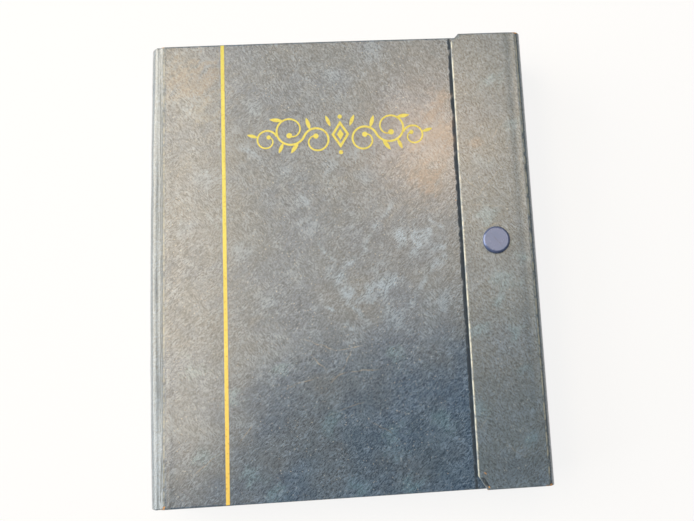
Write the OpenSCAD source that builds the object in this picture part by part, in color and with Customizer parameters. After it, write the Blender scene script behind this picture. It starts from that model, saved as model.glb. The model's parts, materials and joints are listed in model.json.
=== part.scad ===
// Ring-bound stamp album with a wrap-round closing flap and a press stud.
//
// It lies closed on its back cover: +X runs from the spine to the fore edge, +Y towards the head,
// and +Z is up through the front cover. The origin is at the middle of the underside.
// The case is five stiff panels (back, spine, front, fore edge, flap) joined by four bare strips of
// leatherette that roll round the corners, so it opens out flat.

/* [Case] */
// Height of the covers, tail to head
cover_h = 254; // [210:1:310]
// Width of the closed case, spine face to fore-edge face
case_w = 212; // [175:1:260]
// Thickness of the greyboard in each panel
board_t = 2; // [1.5:0.1:3]
// Thickness of the leatherette
skin_t = 0.5; // [0.3:0.05:0.8]
// Thickness of the lining sheets
lining_t = 0.25; // [0.15:0.05:0.5]
// How far the leatherette turns in over each board's inner face
turn_in = 12; // [9:0.5:14]
// How far each lining sheet laps over the turned-in leatherette
lining_lap = 7; // [3:0.5:8]
// Radius of the panel corners
corner_r = 3; // [1.5:0.25:5]

/* [Hinges] */
// Radius of the rolled leatherette at the two spine corners
spine_roll = 8; // [6:0.25:10]
// Radius of the rolled leatherette at the two fore-edge corners
flap_roll = 4.5; // [4:0.25:6]

/* [Flap] */
// Width of the flap over the front cover, fore-edge face to free edge
flap_w = 40.5; // [36:0.5:60]
// How much shorter the flap is than the covers, at its tail end
flap_tail_inset = 0; // [0:0.5:6]
// Width of the cut corners on the flap's free edge
flap_cut_w = 4.5; // [2:0.25:8]
// Length of the cut corner at the head
flap_cut_head = 5; // [2:0.25:12]
// Length of the cut corner at the tail
flap_cut_tail = 7.5; // [2:0.25:12]
// Room between the front cover and the flap, which the press stud fills
flap_lift = 2.4; // [2.2:0.1:3.5]
// Gap between the front cover's fore edge and the fore-edge panel
fore_edge_gap = 1.5; // [1:0.1:3]

/* [Press stud] */
// Diameter of the cap
cap_d = 15; // [12:0.5:18]
// Height of the cap above the flap
cap_h = 2.2; // [1.5:0.1:3]
// Distance from the flap's free edge to the cap's centre
snap_inset = 18.2; // [12:0.2:22]
// Distance from the covers' mid-height up to the cap's centre
snap_up = 5.4; // [-40:0.2:40]
// Diameter of the stud's boss
stud_d = 4.6; // [4:0.1:5.5]
// Diameter of the flanges of the stud, socket and eyelet
flange_d = 11; // [9.5:0.5:12]
// Diameter of the cap's post and of the stud's shank
post_d = 3.6; // [3:0.1:4]
// Thickness of the pressed sheet in the stud's flange and the eyelet
flange_t = 0.4; // [0.3:0.05:0.5]
// Radial room between the stud's boss and the socket
snap_play = 0.35; // [0.3:0.05:0.5]

/* [Gold foil] */
// Distance from the spine face to the middle of the gold rule
rule_x = 41; // [30:0.5:55]
// Width of the gold rule
rule_w = 2; // [1:0.1:3]
// Thickness of the foil
foil_t = 0.1; // [0.05:0.01:0.2]
// Room between the ornament and the rule or the flap
ornament_margin = 12; // [6:0.5:30]
// Distance from the covers' mid-height up to the middle of the ornament
ornament_up = 71; // [20:1:90]

/* [Rings] */
// Radius of the rings, to the middle of the wire
ring_r = 11.5; // [9.5:0.1:16]
// Diameter of the ring wire
wire_d = 2.8; // [2.4:0.1:3.4]
// Distance from each end of the leaves to the outer rings
ring_end = 19; // [14:0.5:40]
// How far each ring half swings out
ring_open = 12; // [8:0.5:12]
// Room between an open ring and the closed cover
ring_room = 0.6; // [0.5:0.1:4]
// How far the ring plate runs past the leaves at each end
plate_past = 4; // [3.5:0.25:6]
// How much narrower the ring plate is than the rings
plate_inset = 2.2; // [1.6:0.1:3]
// Height of the ring plate above the spine's lining
plate_h = 5.6; // [5.4:0.1:6.5]
// Thickness of the plate's sheet steel
sheet_t = 0.8; // [0.6:0.1:1]
// Thickness of the two rails under the plate
rail_t = 1; // [0.8:0.1:1.1]
// Diameter of the rivets that hold the plate to the spine
rivet_d = 4; // [3:0.2:4.4]
// Diameter of the pins that the levers turn on
lever_pin_d = 1.6; // [1.2:0.1:2]
// Width of the opening levers
lever_w = 13; // [9:0.5:15]
// How far each lever is pressed down to open the rings
lever_travel = 20; // [12:1:20]

/* [Leaves] */
// Thickness of the stock card
card_t = 0.5; // [0.3:0.05:0.6]
// Thickness of the clear pocket strips
strip_t = 0.15; // [0.1:0.05:0.2]
// How much shorter the leaves are than the covers, at each end
leaf_end_room = 13; // [13:0.5:20]
// Diameter of the punched holes
hole_d = 7.5; // [7:0.1:8.5]
// Distance from a leaf's inner edge to the middle of its holes
hole_margin = 7.5; // [6:0.25:8]
// Room between the leaves and the fore-edge panel
leaf_room = 2.5; // [2:0.1:6]
// Room between the opened leaves and the ring plate
leaf_clear = 0.5; // [0.4:0.1:1.5]
// Gap between the ring wire and the near side of each hole
thread_gap = 0.35; // [0.3:0.05:0.6]
// Radius of the leaf corners
leaf_corner_r = 3; // [1:0.5:6]
// Number of pocket strips on each side of a leaf
strip_count = 7; // [3:1:9]
// Gap between one pocket strip and the next
strip_step = 6; // [3:0.5:10]

/* [Hidden] */
leaf_count = 8;
ring_count = 3;
leaf_facets = 32;
foil_facets = 40;
round_facets = 48;
overcut = 1;

// Panel sections
panel_t = skin_t + board_t + skin_t + lining_t;
hinge_t = skin_t + lining_t;
wire_r = wire_d / 2;
post_r = post_d / 2;

// Places on the ring plate, in the spine's own directions: "out" is the distance from the spine's
// lining, "up" the distance from the middle of the spine towards the front cover
plate_w = 2 * ring_r - plate_inset;
wall_up = plate_w / 2;
rail_play = 0.4;
rail_inner_up = 0.3;
rail_outer_up = wall_up - sheet_t - rail_play;
rail_pivot_out = 2.3;
rail_droop = 0.8;
ring_seat_up = 4;
ring_seat_out = 1.6;
ring_out = ring_seat_out + sqrt(pow(ring_r, 2) - pow(ring_seat_up, 2));
ring_reach = ring_out - rail_pivot_out;
ring_rise = ring_reach * sin(ring_open) + rail_outer_up * (1 - cos(ring_open));

// Overall places
case_t = 2 * (panel_t + ring_r + wire_r + ring_rise + ring_room);
mid_z = case_t / 2;
spine_x = -case_w / 2;
fore_x = case_w / 2;
spine_in_x = spine_x + panel_t;
front_x = spine_x + spine_roll;
front_end_x = fore_x - panel_t - fore_edge_gap;
back_end_x = fore_x - flap_roll;
flap_z = case_t + flap_lift;
flap_top = flap_z + panel_t;
flap_h = cover_h - flap_tail_inset;
flap_mid_y = flap_tail_inset / 2;
flap_edge_x = fore_x - flap_w;
snap_x = flap_edge_x + snap_inset;
ornament_x = (spine_x + rule_x + flap_edge_x) / 2;
ornament_w = flap_edge_x - (spine_x + rule_x) - 2 * ornament_margin;

// Press stud stack
flange_r = flange_d / 2;
stud_r = stud_d / 2;
socket_clear = 0.25;
stud_top_clear = 0.5;
socket_low = case_t + flange_t + socket_clear;
stud_high = flap_z - stud_top_clear;
post_low = flap_z - 0.2;

// Leaf stack
leaf_t = card_t + 2 * strip_t;
leaf_h = cover_h - 2 * leaf_end_room;
stack_room = ring_out - plate_h - leaf_clear;
leaf_pitch = (stack_room - leaf_t / 2) * 2 / (leaf_count - 1);
ring_x = spine_in_x + ring_out;
hole_r = hole_d / 2;
leaf_w = fore_x - panel_t - leaf_room
    - (leaf_hole_x(leaf_count / 2) - hole_margin);
strip_margin = 5;
strip_w = leaf_w - 2 * hole_margin - 2 * strip_margin;
strip_pitch = (leaf_h - 2 * strip_margin) / strip_count;
strip_h = strip_pitch - strip_step;

// Along the spine
ring_pitch = (leaf_h - 2 * ring_end) / (ring_count - 1);
plate_len = leaf_h + 2 * plate_past;
rail_len = plate_len - 14;
rivet_y = ring_pitch / 2;
rivet_head_t = skin_t;
rivet_head_r = rivet_d / 2 + 1.8;

// Levers
lever_pin_r = lever_pin_d / 2;
lever_play = 0.05;
lever_y = plate_len / 2 - 5;
lever_out = 2.5;

// Height of a leaf above the middle of the stack; leaf 1 is on top
function leaf_level(i) = ((leaf_count + 1) / 2 - i) * leaf_pitch;
// Places of the rings along the spine
function ring_places() = [for (i = [0 : ring_count - 1]) (i - (ring_count - 1) / 2) * ring_pitch];
// Half the width of the hole that the slanting wire needs at a leaf
function wire_half(i) = let (slant = asin(abs(leaf_level(i)) / ring_r))
    wire_r / cos(slant) + leaf_t / 2 * tan(slant);
// Middle of a leaf's holes: on the ring's arc, moved out until the wire meets the near side
function leaf_hole_x(i) = ring_x + sqrt(pow(ring_r, 2) - pow(leaf_level(i), 2))
    + hole_r - wire_half(i) - thread_gap;

// ---- Shapes used by several pieces ----

// A rectangle from (x0, y0) to (x1, y1) with round corners
module round_rect(x0, y0, x1, y1, r) {
    translate([x0 + r, y0]) square([x1 - x0 - 2 * r, y1 - y0]);
    translate([x0, y0 + r]) square([x1 - x0, y1 - y0 - 2 * r]);
    for (x = [x0 + r, x1 - r], y = [y0 + r, y1 - r])
        translate([x, y]) circle(r, $fn = leaf_facets);
}

// Outline of the panel that is long_w across and panel_h high, shrunk by inset on every side
module panel_outline(long_w, panel_h, inset) {
    round_rect(inset, -panel_h / 2 + inset, long_w - inset, panel_h / 2 - inset,
        corner_r - min(inset, corner_r - 0.5));
}

// Outline of the flap, with the free edge's corners cut off, shrunk by inset on every side
module flap_outline(inset) {
    low = -flap_h / 2 + inset;
    high = flap_h / 2 - inset;
    polygon([
        [inset, low + flap_cut_tail], [flap_cut_w + inset, low],
        [flap_w - flap_roll - inset, low], [flap_w - flap_roll - inset, high],
        [flap_cut_w + inset, high], [inset, high - flap_cut_head]
    ]);
}

// The three layers of a panel lie in its own frame, with the outer face at z = 0 and the inner face
// up. children(0) is the outline, children(1) the board's outline and children(2) the window that
// the turned-in leatherette leaves, children(3) the lining sheet's outline.
module skin_layer() {
    difference() {
        linear_extrude(skin_t + board_t + skin_t) children(0);
        translate([0, 0, skin_t]) linear_extrude(board_t) children(1);
        translate([0, 0, skin_t + board_t - overcut / 2]) linear_extrude(skin_t + overcut)
            children(2);
    }
}

module board_layer() {
    translate([0, 0, skin_t]) linear_extrude(board_t) children();
}

module lining_layer() {
    translate([0, 0, skin_t + board_t]) linear_extrude(skin_t) children(0);
    translate([0, 0, 2 * skin_t + board_t]) linear_extrude(lining_t) children(1);
}

module plain_skin(long_w, panel_h, turn) {
    skin_layer() {
        panel_outline(long_w, panel_h, 0);
        panel_outline(long_w, panel_h, skin_t);
        panel_outline(long_w, panel_h, turn);
    }
}

module plain_board(long_w, panel_h) {
    board_layer() panel_outline(long_w, panel_h, skin_t);
}

module plain_lining(long_w, panel_h, turn) {
    lining_layer() {
        panel_outline(long_w, panel_h, turn);
        panel_outline(long_w, panel_h, turn - min(lining_lap, turn - 1));
    }
}

// A quarter roll of leatherette: bulges towards -X and -Z, its flat ends at +X and +Z
module quarter_roll(radius, roll_h) {
    translate([radius, 0, radius]) rotate([90, 0, 0])
        linear_extrude(roll_h, center = true) intersection() {
            difference() {
                circle(radius, $fn = round_facets);
                circle(radius - hinge_t, $fn = round_facets);
            }
            translate([-radius - overcut, -radius - overcut]) square(radius + overcut);
        }
}

// ---- Places of the five panels ----

module at_back() { translate([spine_x + spine_roll, 0, 0]) children(); }

module at_front() {
    translate([front_x, 0, case_t]) mirror([0, 0, 1]) children();
}

module at_spine() {
    translate([spine_x, 0, case_t - spine_roll]) rotate([0, 90, 0]) children();
}

module at_fore_edge() {
    translate([fore_x, 0, flap_roll]) rotate([0, -90, 0]) children();
}

module at_flap() {
    translate([flap_edge_x, flap_mid_y, flap_top]) mirror([0, 0, 1]) children();
}

back_w = back_end_x - (spine_x + spine_roll);
front_w = front_end_x - front_x;
spine_w = case_t - 2 * spine_roll;
fore_edge_w = flap_top - 2 * flap_roll;
narrow_turn = min(turn_in, spine_w / 2 - 6);

// Holes for the two rivets through the spine, in the spine panel's frame
module rivet_holes(radius) {
    for (y = [-rivet_y, rivet_y])
        translate([spine_w / 2, y, -overcut]) cylinder(panel_t + 2 * overcut, r = radius,
            $fn = leaf_facets);
}

// ---- Back cover ----

module back_skin() {
    color("#5f6f7c") at_back() plain_skin(back_w, cover_h, turn_in);
}

module back_board() {
    color("#a08f74") at_back() plain_board(back_w, cover_h);
}

module back_lining() {
    color("#d9d2bd") at_back() plain_lining(back_w, cover_h, turn_in);
}

// ---- Spine ----

module spine_skin() {
    color("#5f6f7c") at_spine() difference() {
        plain_skin(spine_w, cover_h, narrow_turn);
        rivet_holes(rivet_d / 2);
        for (y = [-rivet_y, rivet_y])
            translate([spine_w / 2, y, -overcut]) cylinder(rivet_head_t + overcut,
                r = rivet_head_r, $fn = leaf_facets);
    }
}

module spine_board() {
    color("#a08f74") at_spine() difference() {
        plain_board(spine_w, cover_h);
        rivet_holes(rivet_d / 2);
    }
}

module spine_lining() {
    color("#d9d2bd") at_spine() difference() {
        plain_lining(spine_w, cover_h, narrow_turn);
        rivet_holes(rivet_d / 2);
    }
}

// ---- Front cover ----

// Hole for the stud's shank, through the front cover
module stud_hole() {
    translate([snap_x, snap_up, case_t - panel_t - overcut])
        cylinder(panel_t + 2 * overcut, r = post_r, $fn = leaf_facets);
}

module front_skin() {
    color("#64727d") difference() {
        at_front() plain_skin(front_w, cover_h, turn_in);
        stud_hole();
    }
}

module front_board() {
    color("#a08f74") difference() {
        at_front() plain_board(front_w, cover_h);
        stud_hole();
    }
}

module front_lining() {
    color("#d9d2bd") difference() {
        at_front() plain_lining(front_w, cover_h, turn_in);
        stud_hole();
    }
}

module gold_rule() {
    color("#e2b850") translate([spine_x + rule_x - rule_w / 2, -cover_h / 2 + skin_t, case_t])
        cube([rule_w, cover_h - 2 * skin_t, foil_t]);
}

// A scroll is [middle's x, middle's y, first radius, angle where it starts, angle it turns through
// (negative for clockwise)]. It winds inwards. These give its state at a share t of its turn.
function scroll_r(s, t) = s[2] * (1 - 0.64 * pow(t, 2));
function scroll_angle(s, t) = s[3] + s[4] * t;
function scroll_point(s, t, out) = [s[0], s[1]]
    + (scroll_r(s, t) + out) * [cos(scroll_angle(s, t)), sin(scroll_angle(s, t))];

// The foil line of a scroll, which thins from line_w on its way in and ends in a bead
module scroll(s, line_w, bead_r) {
    steps = ceil(abs(s[4]) / 9);
    function half(t) = line_w * (1 - 0.35 * t) / 2;
    polygon(concat([for (i = [0:steps]) scroll_point(s, i / steps, half(i / steps))],
        [for (i = [steps:-1:0]) scroll_point(s, i / steps, -half(i / steps))]));
    translate(scroll_point(s, 1, 0)) circle(bead_r, $fn = foil_facets);
}

// A pointed leaf of foil, along x from the origin: where two equal circles cross
module foil_leaf(length, width) {
    r = (pow(length, 2) + pow(width, 2)) / (4 * width);
    intersection() {
        translate([length / 2, r - width / 2]) circle(r, $fn = foil_facets * 2);
        translate([length / 2, width / 2 - r]) circle(r, $fn = foil_facets * 2);
    }
}

// A leaf that springs from a scroll at a share of its turn, leaning away from straight outwards
module scroll_leaf(s, share, length, width, lean) {
    translate(scroll_point(s, share, 0)) rotate(scroll_angle(s, share) + lean)
        foil_leaf(length, width);
}

// One arm of the ornament, to the right of its middle, drawn for an arm 53 long: three scrolls on
// one wavy stem, each touching the next where the stem passes from one to the other
module ornament_arm() {
    first_r = 7.3;
    second_r = 8.4;
    third_r = 5.8;
    climb = 24;
    fall = -22;
    first = [13.4, -3.1, first_r, climb, 420];
    second_step = (first_r + second_r) * [cos(climb), sin(climb)];
    second = [first[0] + second_step.x, first[1] + second_step.y, second_r, climb + 180, 440];
    third_step = (second_r + third_r) * [cos(fall), sin(fall)];
    third = [second[0] + third_step.x, second[1] + third_step.y, third_r, fall + 180, -400];
    scroll(first, 1.25, 1.5);
    scroll(second, 1.25, 1.6);
    scroll(third, 1.1, 1.2);
    scroll_leaf(first, 0.09, 7.5, 2.2, 12);
    scroll_leaf(second, 0.08, 7.5, 2.2, 66);
    scroll_leaf(second, 0.22, 6.5, 2, -8);
    scroll_leaf(second, 0.48, 7.5, 2.2, -48);
    scroll_leaf(third, 0.34, 6.2, 1.9, -6);
    // the free leaf beside the diamond
    translate([5.4, 4.8]) rotate(68) foil_leaf(7, 2);
}

module ornament_middle() {
    difference() {
        polygon([[-5, 0], [0, -8], [5, 0], [0, 8]]);
        polygon([[-3.4, 0], [0, -5.5], [3.4, 0], [0, 5.5]]);
    }
    polygon([[-1.9, 0], [0, -3.2], [1.9, 0], [0, 3.2]]);
    for (side = [-1, 1])
        translate([0, side * 10.4]) circle(1.2, $fn = foil_facets);
}

module gold_ornament() {
    arm_w = 53;
    size = ornament_w / (2 * arm_w);
    color("#e2b850") translate([ornament_x, ornament_up, case_t])
        linear_extrude(foil_t) scale([size, size]) {
            ornament_middle();
            ornament_arm();
            mirror([1, 0]) ornament_arm();
        }
}

// ---- Fore-edge panel ----

module fore_edge_skin() {
    color("#5f6f7c") at_fore_edge() plain_skin(fore_edge_w, cover_h, turn_in);
}

module fore_edge_board() {
    color("#a08f74") at_fore_edge() plain_board(fore_edge_w, cover_h);
}

module fore_edge_lining() {
    color("#d9d2bd") at_fore_edge() plain_lining(fore_edge_w, cover_h, turn_in);
}

// ---- Flap ----

// Hole for the cap's post, through the flap
module post_hole() {
    translate([snap_x, snap_up, flap_z - overcut])
        cylinder(panel_t + 2 * overcut, r = post_r, $fn = leaf_facets);
}

module flap_skin() {
    color("#64727d") difference() {
        at_flap() skin_layer() {
            flap_outline(0);
            flap_outline(skin_t);
            flap_outline(turn_in);
        }
        post_hole();
    }
}

module flap_board() {
    color("#a08f74") difference() {
        at_flap() board_layer() flap_outline(skin_t);
        post_hole();
    }
}

module flap_lining() {
    color("#5d625f") difference() {
        at_flap() lining_layer() {
            flap_outline(turn_in);
            flap_outline(turn_in - lining_lap);
        }
        post_hole();
    }
}

// ---- Leatherette hinges ----

module back_hinge() {
    color("#56636f") translate([spine_x, 0, 0]) quarter_roll(spine_roll, cover_h);
}

module front_hinge() {
    color("#56636f") translate([spine_x, 0, case_t]) mirror([0, 0, 1])
        quarter_roll(spine_roll, cover_h);
}

module fore_edge_hinge() {
    color("#56636f") translate([fore_x, 0, 0]) mirror([1, 0, 0])
        quarter_roll(flap_roll, cover_h);
}

module flap_hinge() {
    color("#56636f") translate([fore_x, flap_mid_y, flap_top]) mirror([1, 0, 0])
        mirror([0, 0, 1]) quarter_roll(flap_roll, flap_h);
}

// ---- Press stud ----

module snap_cap() {
    bevel = 1.4;
    color("#2f4f9e") translate([snap_x, snap_up, 0]) {
        translate([0, 0, flap_top]) cylinder(cap_h / 2, r = cap_d / 2, $fn = round_facets);
        translate([0, 0, flap_top + cap_h / 2])
            cylinder(cap_h / 2, r1 = cap_d / 2, r2 = cap_d / 2 - bevel, $fn = round_facets);
        translate([0, 0, post_low]) cylinder(flap_top - post_low, r = post_r, $fn = leaf_facets);
    }
}

module snap_socket() {
    color("#b9bcc0") translate([snap_x, snap_up, socket_low]) difference() {
        cylinder(flap_z - socket_low, r = flange_r, $fn = round_facets);
        translate([0, 0, -overcut]) cylinder(flap_z - socket_low + 2 * overcut,
            r = stud_r + snap_play, $fn = round_facets);
    }
}

module snap_stud() {
    color("#b9bcc0") translate([snap_x, snap_up, case_t]) difference() {
        union() {
            cylinder(flange_t, r = flange_r, $fn = round_facets);
            cylinder(stud_high - case_t, r = stud_r, $fn = round_facets);
        }
        translate([0, 0, -overcut]) cylinder(overcut + flange_t, r = post_r, $fn = leaf_facets);
    }
}

module stud_eyelet() {
    low = case_t - panel_t;
    color("#b9bcc0") translate([snap_x, snap_up, low]) {
        translate([0, 0, -flange_t]) cylinder(flange_t, r = flange_r - 1, $fn = round_facets);
        cylinder(panel_t + flange_t, r = post_r, $fn = leaf_facets);
    }
}

// ---- Ring mechanism ----

// Puts a section drawn as (out, up) on the spine, run along Y between two places
module along_spine(from_y, to_y) {
    translate([spine_in_x, to_y, mid_z]) rotate([90, 0, 0]) linear_extrude(to_y - from_y)
        children();
}

// Turns what is made for the upper side over, about the middle of the case's thickness
module flip_up() {
    translate([0, 0, case_t]) mirror([0, 0, 1]) children();
}

module plate_section(wall) {
    side = wall_up - wall;
    top = plate_h - wall;
    shoulder = 3.8 - wall * 0.5;
    crown = 7.5 - wall * 0.5;
    foot = wall > 0 ? -overcut : 0;
    polygon([[foot, -side], [shoulder, -side], [top, -crown], [top, crown], [shoulder, side],
        [foot, side]]);
}

// Slot in the plate's upper shoulder that a ring comes out of
module ring_slot(y) {
    slot_w = wire_d + 1.2;
    slot_low = ring_seat_up + 0.6;
    translate([spine_in_x + ring_seat_out + 0.4, y - slot_w / 2, mid_z + slot_low])
        cube([plate_h, slot_w, wall_up + overcut - slot_low]);
}

// Opening in the crown at the plate's head end, where the lever's tab rises
module lever_notch() {
    notch_w = lever_w + 1.2;
    notch_y = lever_y - 1.5;
    translate([spine_in_x + plate_h - sheet_t - overcut, notch_y, mid_z - notch_w / 2])
        cube([plate_h, plate_len, notch_w]);
}

module ring_plate() {
    color("#c9ccd0") difference() {
        along_spine(-plate_len / 2, plate_len / 2) difference() {
            plate_section(0);
            plate_section(sheet_t);
        }
        for (y = ring_places()) {
            ring_slot(y);
            flip_up() ring_slot(y);
        }
        lever_notch();
        mirror([0, 1, 0]) lever_notch();
        for (y = [-rivet_y, rivet_y])
            translate([spine_in_x + plate_h - sheet_t - overcut, y, mid_z]) rotate([0, 90, 0])
                cylinder(sheet_t + 2 * overcut, r = rivet_d / 2, $fn = leaf_facets);
        for (y = [-lever_y, lever_y])
            translate([spine_in_x + lever_out, y, mid_z])
                cylinder(plate_w + 2 * overcut, r = lever_pin_r, center = true,
                    $fn = leaf_facets);
    }
}

// Section of the upper rail: a thin blade from its pivot in the plate's wall to the middle
module rail_section() {
    inner_out = rail_pivot_out - rail_droop;
    polygon([
        [rail_pivot_out - rail_t / 2, rail_outer_up], [inner_out - rail_t / 2, rail_inner_up],
        [inner_out + rail_t / 2, rail_inner_up], [rail_pivot_out + rail_t / 2, rail_outer_up]
    ]);
}

module upper_rail() {
    post_notch_r = rivet_d / 2 + 0.9;
    color("#9fa3a8") difference() {
        along_spine(-rail_len / 2, rail_len / 2) rail_section();
        for (y = [-rivet_y, rivet_y])
            translate([spine_in_x - overcut, y, mid_z]) rotate([0, 90, 0])
                cylinder(plate_h, r = post_notch_r, $fn = leaf_facets);
    }
}

module lower_rail() {
    flip_up() upper_rail();
}

// The upper halves run from the middle of the leaves down to the upper rail
module upper_rings() {
    sweep = 165;
    tip_gap = 0.05;
    low = -ring_seat_out - overcut;
    rail_top = rail_pivot_out - rail_droop + rail_t / 2;
    color("#c9ccd0") difference() {
        for (y = ring_places())
            translate([ring_x, y, mid_z]) rotate([90, 0, 0])
                rotate_extrude(angle = sweep, $fn = 96) translate([ring_r, 0])
                    circle(wire_r, $fn = 20);
        along_spine(-cover_h / 2, cover_h / 2) polygon([
            [rail_pivot_out + rail_t / 2, rail_outer_up], [rail_top, rail_inner_up],
            [rail_top, -wall_up], [low, -wall_up], [low, rail_outer_up]
        ]);
        translate([ring_x, -cover_h / 2, mid_z - overcut])
            cube([2 * ring_r, cover_h, overcut + tip_gap]);
    }
}

module lower_rings() {
    flip_up() upper_rings();
}

// The lever at the head end: a nose under the rails, a hub on the pin, and a tab that slopes up
module lever_at_head() {
    nose_w = 2;
    nose_t = 0.7;
    nose_len = 5.2;
    nose_out = 0.15;
    tab_len = 12;
    tab_t = 1.2;
    lip_h = 3.5;
    tab_rise = lever_travel + 4;
    translate([spine_in_x, lever_y, mid_z]) difference() {
        union() {
            translate([lever_out, 0, -lever_w / 2]) cylinder(lever_w, r = lever_pin_r + 1,
                $fn = leaf_facets);
            translate([nose_out, -nose_len, -nose_w / 2]) cube([nose_t, nose_len, nose_w]);
            translate([nose_out, -1.2, -nose_w / 2]) cube([lever_out, 1.8, nose_w]);
            translate([lever_out, 0, -lever_w / 2]) rotate(-tab_rise) {
                translate([-tab_t / 2, 0, 0]) cube([tab_t, tab_len, lever_w]);
                translate([0, tab_len - tab_t, 0]) cube([lip_h, tab_t, lever_w]);
            }
        }
        translate([lever_out, 0, -lever_w]) cylinder(2 * lever_w, r = lever_pin_r + lever_play,
            $fn = leaf_facets);
    }
}

module head_lever() {
    color("#c9ccd0") lever_at_head();
}

module tail_lever() {
    color("#c9ccd0") mirror([0, 1, 0]) lever_at_head();
}

module lever_pins() {
    color("#8d9196") for (y = [-lever_y, lever_y])
        translate([spine_in_x + lever_out, y, mid_z])
            cylinder(plate_w + 0.6, r = lever_pin_r, center = true, $fn = leaf_facets);
}

// Each rivet runs from a flat head in the leatherette to a clinched head on the plate
module spine_rivets() {
    post_r_out = rivet_d / 2 + 0.5;
    color("#8d9196") for (y = [-rivet_y, rivet_y])
        translate([spine_x, y, mid_z]) rotate([0, 90, 0]) {
            cylinder(rivet_head_t, r = rivet_head_r, $fn = leaf_facets);
            cylinder(panel_t + plate_h, r = rivet_d / 2, $fn = leaf_facets);
            translate([0, 0, panel_t]) cylinder(plate_h - sheet_t, r = post_r_out,
                $fn = leaf_facets);
            translate([0, 0, panel_t + plate_h]) cylinder(0.6, r = post_r_out + 0.6,
                $fn = leaf_facets);
        }
}

// ---- Leaves ----

module leaf(i) {
    inner_x = leaf_hole_x(i) - hole_margin;
    color("#23262a") translate([0, 0, mid_z + leaf_level(i) - card_t / 2]) difference() {
        linear_extrude(card_t)
            round_rect(inner_x, -leaf_h / 2, inner_x + leaf_w, leaf_h / 2, leaf_corner_r);
        for (y = ring_places())
            translate([leaf_hole_x(i), y, -overcut]) cylinder(card_t + 2 * overcut, r = hole_r,
                $fn = leaf_facets);
    }
}

module strips(i) {
    strip_x = leaf_hole_x(i) + hole_margin;
    first_y = -leaf_h / 2 + strip_margin + strip_step / 2;
    color("#cfd8dc") for (side = [0, 1], row = [0 : strip_count - 1])
        translate([strip_x, first_y + row * strip_pitch,
            mid_z + leaf_level(i) + (side == 0 ? card_t / 2 : -card_t / 2 - strip_t)])
            cube([strip_w, strip_h, strip_t]);
}

back_skin();
back_board();
back_lining();
spine_skin();
spine_board();
spine_lining();
front_skin();
front_board();
front_lining();
fore_edge_skin();
fore_edge_board();
fore_edge_lining();
flap_skin();
flap_board();
flap_lining();
back_hinge();
front_hinge();
fore_edge_hinge();
flap_hinge();
gold_rule();
gold_ornament();
snap_cap();
snap_socket();
snap_stud();
stud_eyelet();
ring_plate();
upper_rail();
lower_rail();
upper_rings();
lower_rings();
head_lever();
tail_lever();
lever_pins();
spine_rivets();
leaf(1);  // leaf_1
leaf(2);  // leaf_2
leaf(3);  // leaf_3
leaf(4);  // leaf_4
leaf(5);  // leaf_5
leaf(6);  // leaf_6
leaf(7);  // leaf_7
leaf(8);  // leaf_8
strips(1);  // strips_1
strips(2);  // strips_2
strips(3);  // strips_3
strips(4);  // strips_4
strips(5);  // strips_5
strips(6);  // strips_6
strips(7);  // strips_7
strips(8);  // strips_8
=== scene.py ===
"""A ring-bound stamp album: leatherette case, gold foil, press stud, rings and stock leaves."""
import json
import math

import bmesh
import bpy
from mathutils import Matrix, Vector


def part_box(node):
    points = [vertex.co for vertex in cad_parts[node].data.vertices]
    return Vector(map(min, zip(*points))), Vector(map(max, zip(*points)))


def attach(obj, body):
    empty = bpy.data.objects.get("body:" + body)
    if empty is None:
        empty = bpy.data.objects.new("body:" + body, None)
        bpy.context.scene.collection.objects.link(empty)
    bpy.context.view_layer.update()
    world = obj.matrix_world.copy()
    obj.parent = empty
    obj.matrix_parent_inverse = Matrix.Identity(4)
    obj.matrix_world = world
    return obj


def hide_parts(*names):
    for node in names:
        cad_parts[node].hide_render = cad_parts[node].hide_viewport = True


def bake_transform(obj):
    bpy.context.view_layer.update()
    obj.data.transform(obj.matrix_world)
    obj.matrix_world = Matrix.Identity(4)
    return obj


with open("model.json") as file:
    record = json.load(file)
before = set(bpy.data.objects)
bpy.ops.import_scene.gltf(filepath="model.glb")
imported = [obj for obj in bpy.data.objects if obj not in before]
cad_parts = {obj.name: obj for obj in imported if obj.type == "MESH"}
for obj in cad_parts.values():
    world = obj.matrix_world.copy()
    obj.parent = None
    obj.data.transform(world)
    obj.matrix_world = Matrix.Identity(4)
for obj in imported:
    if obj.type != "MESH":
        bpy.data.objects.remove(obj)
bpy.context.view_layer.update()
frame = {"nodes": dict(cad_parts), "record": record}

MM = 0.001
SAME = 0.001 * MM  # places nearer than this are one place
CLOSE = 0.01 * MM  # near enough to count as lying on an edge

# ---- Sizes of the case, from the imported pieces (metres) ----

front_low, front_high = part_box("front_skin")
back_low, back_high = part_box("back_skin")
spine_low, spine_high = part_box("spine_skin")
fore_low, fore_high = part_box("fore_edge_skin")
flap_low, flap_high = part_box("flap_skin")
spine_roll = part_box("front_hinge")[1].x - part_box("front_hinge")[0].x
flap_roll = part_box("flap_hinge")[1].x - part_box("flap_hinge")[0].x
cap_low, cap_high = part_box("snap_cap")
board_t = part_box("back_board")[1].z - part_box("back_board")[0].z
skin_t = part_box("back_board")[0].z
wrap_t = back_high.z - back_low.z
case_t = front_high.z
flap_top = flap_high.z
cover_h = front_high.y - front_low.y
flap_h = flap_high.y - flap_low.y
flap_mid_y = (flap_high.y + flap_low.y) / 2
cap_x = (cap_low.x + cap_high.x) / 2
cap_y = (cap_low.y + cap_high.y) / 2
cap_r = (cap_high.x - cap_low.x) / 2

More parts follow.
